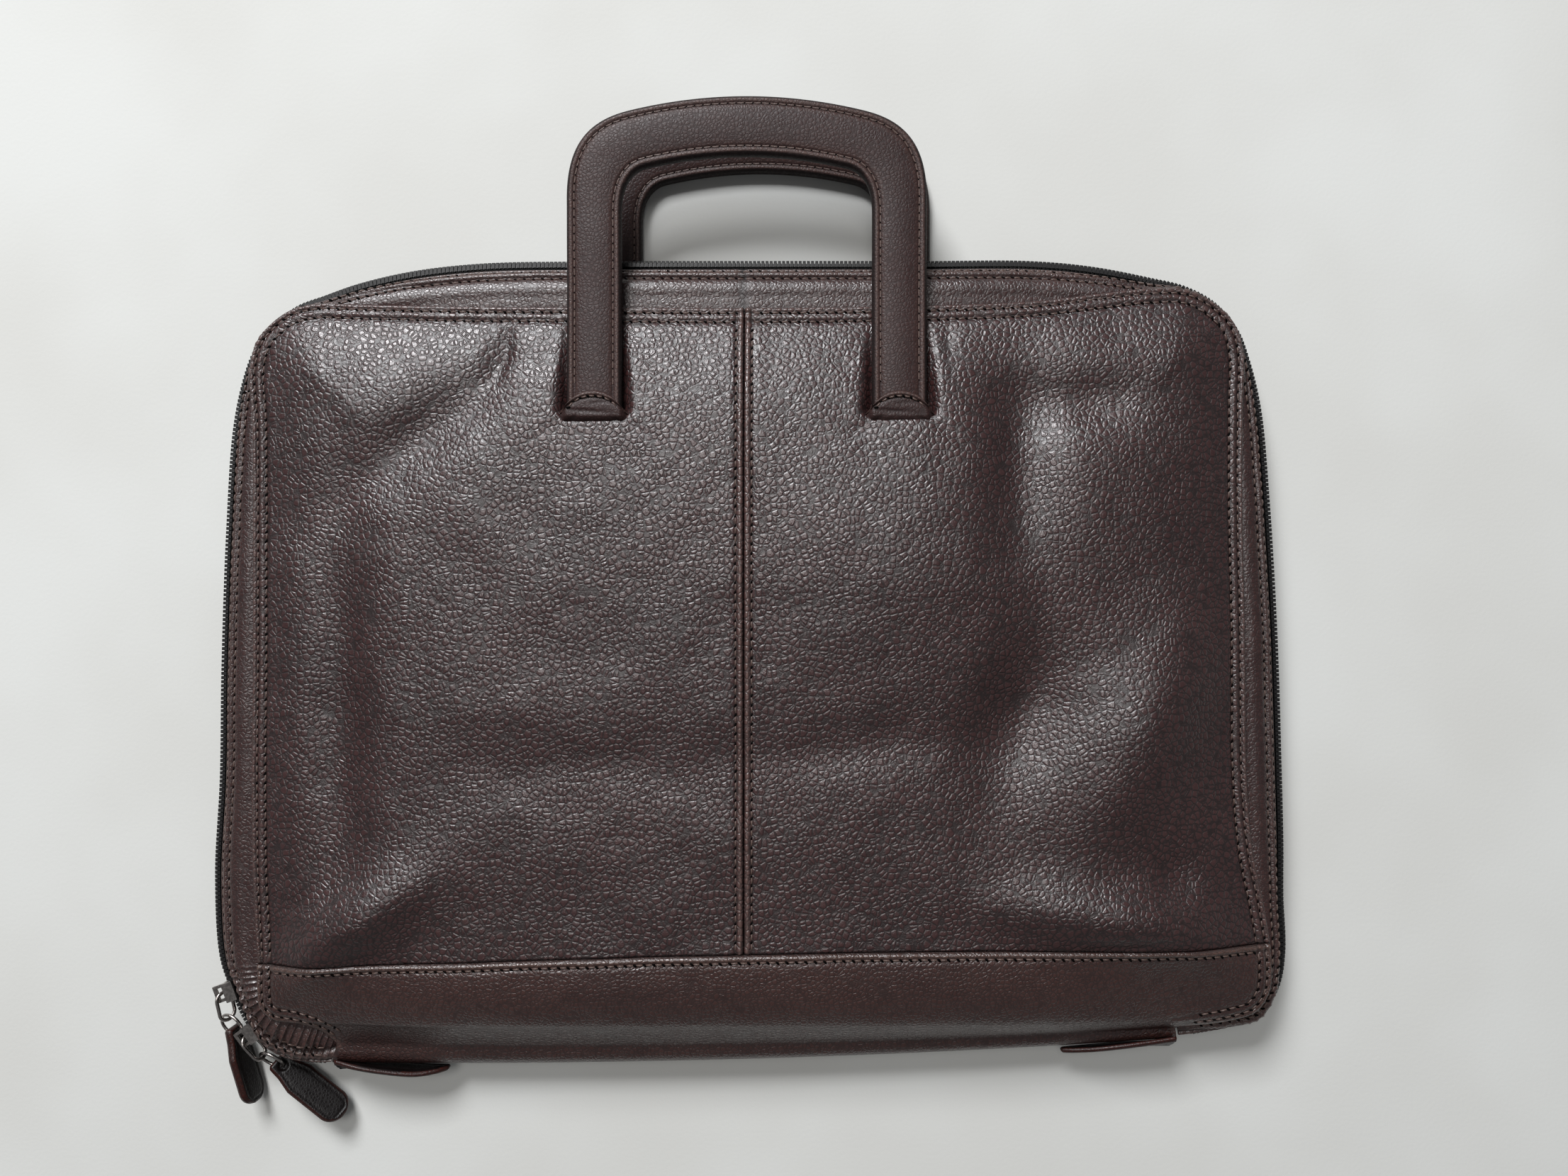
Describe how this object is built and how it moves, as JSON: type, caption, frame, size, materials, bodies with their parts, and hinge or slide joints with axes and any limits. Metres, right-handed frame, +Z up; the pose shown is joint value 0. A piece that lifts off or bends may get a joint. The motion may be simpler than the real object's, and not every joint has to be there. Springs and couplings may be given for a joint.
{
  "type": "leather document case",
  "caption": "Slim soft leather document case with rounded corners, a zip round three sides, two flat carrying handles and leather zip pulls, lying on its back.",
  "frame": {"origin": "The middle of the body on the surface that it lies on, under the flat back panel.", "axes": "+X to the right along the case as its front is seen, +Y from the bottom fold to the handles, +Z up, out of the front."},
  "size_m": [0.4023, 0.3833, 0.0353],
  "materials": {
    "pebbled_leather": "soft pebbled grain with a low sheen, raised edges rubbed lighter",
    "smooth_leather": "finer, flatter grain with fold creases and a low sheen",
    "dark_leather": "near black, glossy, with dark red-brown cut edges",
    "zip_nylon": "black nylon coil and woven tape",
    "silver_metal": "bright silver plating with fine scratches"
  },
  "bodies": {
    "root": {"front_panel_left": "pebbled_leather", "front_panel_right": "pebbled_leather", "bottom_band": "smooth_leather", "back_panel": "pebbled_leather", "gusset_front_strip": "pebbled_leather", "gusset_back_strip": "pebbled_leather", "zip_tape": "zip_nylon", "zip_coil": "zip_nylon", "handle_front": "smooth_leather", "handle_rear": "smooth_leather", "handle_flap_front_left": "smooth_leather", "handle_flap_front_right": "smooth_leather", "handle_flap_rear_left": "smooth_leather", "handle_flap_rear_right": "smooth_leather", "end_tab_left": "dark_leather", "end_tab_right": "dark_leather", "zip_slider_side": "silver_metal", "pull_loop_side": "silver_metal", "jump_ring_side": "silver_metal", "zip_pull_side": "dark_leather", "zip_slider_corner": "silver_metal", "pull_loop_corner": "silver_metal", "jump_ring_corner": "silver_metal", "zip_pull_corner": "dark_leather"}
  },
  "joints": []
}
